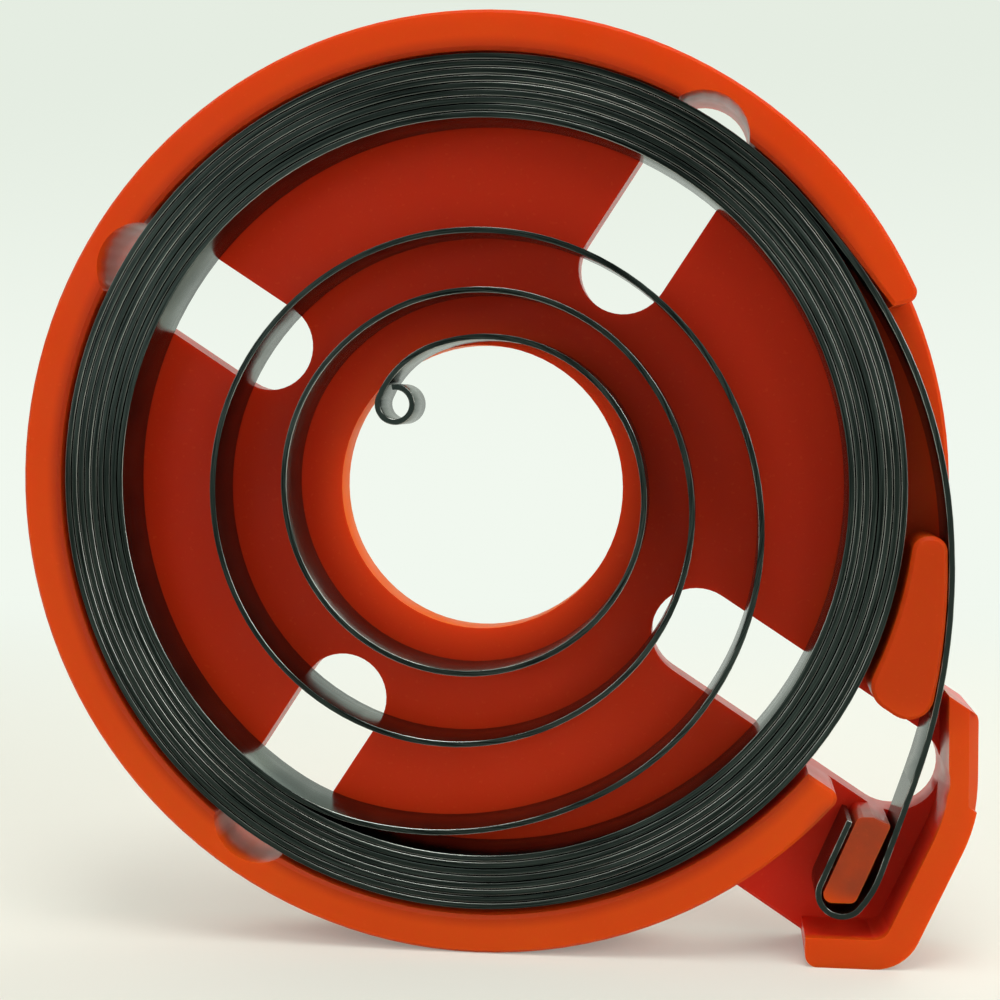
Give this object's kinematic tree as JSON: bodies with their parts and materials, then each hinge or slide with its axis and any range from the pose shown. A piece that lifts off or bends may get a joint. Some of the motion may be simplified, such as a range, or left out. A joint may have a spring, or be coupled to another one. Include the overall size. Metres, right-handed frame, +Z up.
{
  "type": "recoil starter spring",
  "caption": "Flat strip of dark spring steel coiled in an open moulded holder, with an eye at its inner end and an outer hook held by a post in a side pocket.",
  "frame": {"origin": "centre of the hub bore at the holder's back face", "axes": "+Y along the bore axis from the open face to the back, +Z up as the holder stands on its rim, +X to the right, seen from the open face"},
  "size_m": [0.0819, 0.0081, 0.08],
  "materials": {
    "case_plastic": "orange-red moulded nylon, satin, slightly translucent at thin edges",
    "spring_steel": "dark tempered spring steel with paler rubbed edges"
  },
  "bodies": {
    "root": {"spring_case": "case_plastic", "coil_spring": "spring_steel"}
  },
  "joints": []
}
